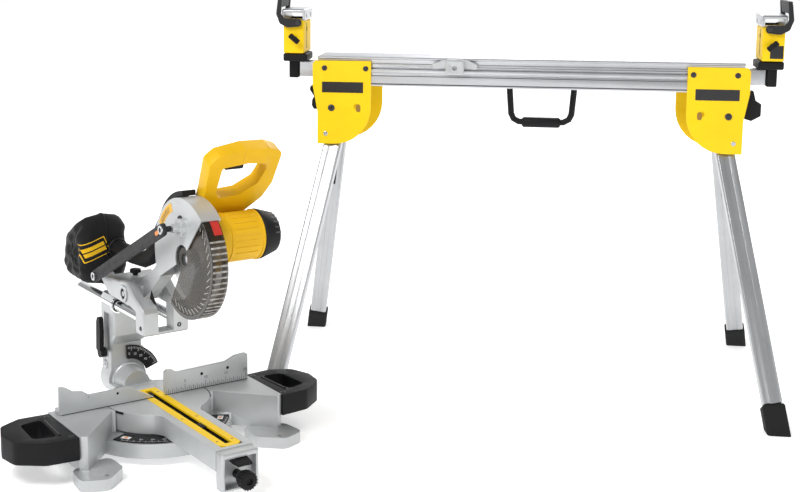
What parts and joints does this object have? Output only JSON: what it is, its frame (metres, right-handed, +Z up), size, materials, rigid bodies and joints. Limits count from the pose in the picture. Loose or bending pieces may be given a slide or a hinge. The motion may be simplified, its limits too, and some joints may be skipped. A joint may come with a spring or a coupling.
{
  "type": "mitre saw with folding stand",
  "caption": "Sliding compound mitre saw set down beside its folding leg stand: extruded beam, splayed folding legs, extending work supports, tilting and sliding saw head.",
  "frame": {"origin": "centre of the bounding box's bottom face, on the floor", "axes": "+X along the stand's beam to the right seen from the front, +Y to the rear, +Z up"},
  "size_m": [1.645, 1.2413, 0.9275],
  "materials": {
    "brushed_aluminium": "brushed extrusion",
    "cast_aluminium": "machined and tumbled casting",
    "chrome": "polished",
    "yellow_paint": "powder coat, satin",
    "yellow_plastic": "glass-filled nylon, satin",
    "black_plastic": "moulded, fine grain",
    "charcoal": "satin",
    "rubber": "matt",
    "tool_steel": "ground",
    "smoked_plastic": "clear smoked polycarbonate",
    "dust_cloth": "coated woven nylon"
  },
  "bodies": {
    "stand": {"beam": "brushed_aluminium", "bracket_left_front": "yellow_paint", "bracket_left_rear": "yellow_paint", "bracket_right_front": "yellow_paint", "bracket_right_rear": "yellow_paint", "carry_handle": "black_plastic"},
    "leg_front_left": {"leg_front_left": "brushed_aluminium", "foot_front_left": "rubber"},
    "leg_rear_left": {"leg_rear_left": "brushed_aluminium", "foot_rear_left": "rubber"},
    "leg_front_right": {"leg_front_right": "brushed_aluminium", "foot_front_right": "rubber"},
    "leg_rear_right": {"leg_rear_right": "brushed_aluminium", "foot_rear_right": "rubber"},
    "extension_left": {"extension_left": "brushed_aluminium", "post_left": "black_plastic"},
    "support_left": {"support_left": "yellow_paint", "support_top_left": "brushed_aluminium"},
    "stop_left": {"stop_left": "charcoal"},
    "support_knob_left": {"support_knob_left": "black_plastic"},
    "release_left": {"release_lever_left": "black_plastic"},
    "extension_right": {"extension_right": "brushed_aluminium", "post_right": "black_plastic"},
    "support_right": {"support_right": "yellow_paint", "support_top_right": "brushed_aluminium"},
    "stop_right": {"stop_right": "charcoal"},
    "support_knob_right": {"support_knob_right": "black_plastic"},
    "release_right": {"release_lever_right": "black_plastic"},
    "beam_clamp": {"beam_clamp": "cast_aluminium"},
    "saw": {"saw_base": "cast_aluminium", "side_handle_left": "black_plastic", "side_handle_right": "black_plastic", "mitre_scale": "black_plastic"},
    "fence_left": {"fence_left": "cast_aluminium"},
    "fence_right": {"fence_right": "cast_aluminium"},
    "table": {"turntable": "cast_aluminium", "kerf_plate": "yellow_paint"},
    "mitre_knob": {"mitre_knob": "black_plastic"},
    "mitre_latch": {"mitre_latch": "black_plastic"},
    "bevel_column": {"bevel_column": "cast_aluminium", "bevel_scale": "black_plastic"},
    "bevel_lever": {"bevel_lever": "black_plastic"},
    "carriage": {"head_bracket": "cast_aluminium", "slide_rail_left": "chrome", "slide_rail_right": "chrome"},
    "slide_lock": {"slide_lock_knob": "black_plastic"},
    "head": {"upper_guard": "cast_aluminium", "motor_housing": "yellow_plastic", "motor_cap": "black_plastic", "main_handle": "yellow_plastic", "dust_duct": "black_plastic", "dust_bag": "dust_cloth"},
    "lower_guard": {"lower_guard": "smoked_plastic"},
    "guard_link": {"guard_link": "charcoal"},
    "blade": {"blade": "tool_steel", "arbor": "tool_steel"},
    "trigger": {"trigger": "black_plastic"},
    "battery": {"battery": "black_plastic"}
  },
  "joints": [
    {"name": "fold_leg_front_left", "type": "hinge", "parent": "stand", "child": "leg_front_left", "pos_m": [-0.2408, 0.2313, 0.585], "axis": [0, -0.8886, 0.4587], "range_deg": [0, 99.2]},
    {"name": "fold_leg_rear_left", "type": "hinge", "parent": "stand", "child": "leg_rear_left", "pos_m": [-0.2408, 0.2973, 0.585], "axis": [0, -0.8886, -0.4587], "range_deg": [0, 99.2]},
    {"name": "fold_leg_front_right", "type": "hinge", "parent": "stand", "child": "leg_front_right", "pos_m": [0.6822, 0.2313, 0.585], "axis": [0.1097, 0.8912, -0.4401], "range_deg": [0, 86.7]},
    {"name": "fold_leg_rear_right", "type": "hinge", "parent": "stand", "child": "leg_rear_right", "pos_m": [0.6822, 0.2973, 0.585], "axis": [-0.1097, 0.8912, 0.4401], "range_deg": [0, 86.7]},
    {"name": "slide_extension_left", "type": "slide", "parent": "stand", "child": "extension_left", "axis": [-1, 0, 0], "range_m": [0, 0.3]},
    {"name": "lift_support_left", "type": "slide", "parent": "extension_left", "child": "support_left", "axis": [0, 0, 1], "range_m": [0, 0.05]},
    {"name": "flip_stop_left", "type": "hinge", "parent": "support_left", "child": "stop_left", "pos_m": [-0.3203, 0.2643, 0.864], "axis": [0, -1, 0], "range_deg": [0, 42]},
    {"name": "turn_support_knob_left", "type": "hinge", "parent": "support_left", "child": "support_knob_left", "pos_m": [-0.3363, 0.2143, 0.826], "axis": [0, -1, 0], "range_deg": [0, 180]},
    {"name": "press_release_left", "type": "hinge", "parent": "stand", "child": "release_left", "pos_m": [-0.2863, 0.2243, 0.716], "axis": [0, 1, 0], "range_deg": [0, 22], "stiffness_Nm_per_rad": 0.8, "springref_deg": -17.19},
    {"name": "slide_extension_right", "type": "slide", "parent": "stand", "child": "extension_right", "axis": [1, 0, 0], "range_m": [0, 0.3]},
    {"name": "lift_support_right", "type": "slide", "parent": "extension_right", "child": "support_right", "axis": [0, 0, 1], "range_m": [0, 0.05]},
    {"name": "flip_stop_right", "type": "hinge", "parent": "support_right", "child": "stop_right", "pos_m": [0.7617, 0.2643, 0.864], "axis": [0, 1, 0], "range_deg": [0, 42]},
    {"name": "turn_support_knob_right", "type": "hinge", "parent": "support_right", "child": "support_knob_right", "pos_m": [0.7777, 0.2143, 0.826], "axis": [0, 1, 0], "range_deg": [0, 180]},
    {"name": "press_release_right", "type": "hinge", "parent": "stand", "child": "release_right", "pos_m": [0.7277, 0.2243, 0.716], "axis": [0, -1, 0], "range_deg": [0, 22], "stiffness_Nm_per_rad": 0.8, "springref_deg": -17.19},
    {"name": "slide_beam_clamp", "type": "slide", "parent": "stand", "child": "beam_clamp", "axis": [1, 0, 0], "range_m": [-0.13, 0.46]},
    {"name": "saw_lift_off", "type": "slide", "parent": "stand", "child": "saw", "axis": [0, 0, 1], "range_m": [0, 0.85]},
    {"name": "slide_fence_left", "type": "slide", "parent": "saw", "child": "fence_left", "axis": [-0.7431, -0.6691, 0], "range_m": [0, 0.06]},
    {"name": "slide_fence_right", "type": "slide", "parent": "saw", "child": "fence_right", "axis": [0.7431, 0.6691, 0], "range_m": [0, 0.06]},
    {"name": "mitre", "type": "hinge", "parent": "saw", "child": "table", "pos_m": [-0.5393, -0.3137, 0.094], "axis": [0, 0, 1], "range_deg": [-47, 47]},
    {"name": "turn_mitre_knob", "type": "hinge", "parent": "table", "child": "mitre_knob", "pos_m": [-0.29507, -0.58495, 0.042], "axis": [0.6691, -0.7431, 0], "range_deg": [0, 180]},
    {"name": "press_mitre_latch", "type": "hinge", "parent": "table", "child": "mitre_latch", "pos_m": [-0.30243, -0.57677, 0.074], "axis": [0.7431, 0.6691, 0], "range_deg": [0, 8], "stiffness_Nm_per_rad": 1, "springref_deg": -11.46},
    {"name": "bevel", "type": "hinge", "parent": "table", "child": "bevel_column", "pos_m": [-0.63967, -0.20223, 0.094], "axis": [0.6691, -0.7431, 0], "range_deg": [0, 48]},
    {"name": "lift_bevel_lever", "type": "hinge", "parent": "bevel_column", "child": "bevel_lever", "pos_m": [-0.68649, -0.21344, 0.156], "axis": [0.7431, 0.6691, 0], "range_deg": [-60, 0]},
    {"name": "carriage_slide", "type": "slide", "parent": "bevel_column", "child": "carriage", "axis": [0.6691, -0.7431, 0], "range_m": [-0.112, 0.125]},
    {"name": "turn_slide_lock", "type": "hinge", "parent": "carriage", "child": "slide_lock", "pos_m": [-0.60487, -0.24087, 0.3423], "axis": [0, 0, 1], "range_deg": [0, 180]},
    {"name": "chop", "type": "hinge", "parent": "carriage", "child": "head", "pos_m": [-0.56941, -0.28026, 0.319], "axis": [0.7431, 0.6691, 0], "range_deg": [0, 59.3], "stiffness_Nm_per_rad": 8, "springref_deg": -143.24},
    {"name": "guard_swing", "type": "hinge", "parent": "head", "child": "lower_guard", "pos_m": [-0.42019, -0.44598, 0.434], "axis": [0.7431, 0.6691, 0], "range_deg": [-157.1, 0]},
    {"name": "link_swing", "type": "hinge", "parent": "carriage", "child": "guard_link", "pos_m": [-0.69355, -0.24401, 0.336], "axis": [0.7431, 0.6691, 0], "range_deg": [0, 44.5]},
    {"name": "blade_spin", "type": "hinge", "parent": "head", "child": "blade", "pos_m": [-0.42019, -0.44598, 0.434], "axis": [0.7431, 0.6691, 0], "continuous": true},
    {"name": "pull_trigger", "type": "slide", "parent": "head", "child": "trigger", "axis": [0.2933, -0.3258, 0.8988], "range_m": [0, 0.003], "stiffness_N_per_m": 900, "springref_m": -0.002},
    {"name": "battery_out", "type": "slide", "parent": "head", "child": "battery", "axis": [-0.6691, 0.7431, 0], "range_m": [0, 0.09]}
  ],
  "couplings": [
    {"joint": "guard_swing", "follows": "chop", "ratio": -2.648},
    {"joint": "link_swing", "follows": "chop", "ratio": 0.75}
  ]
}
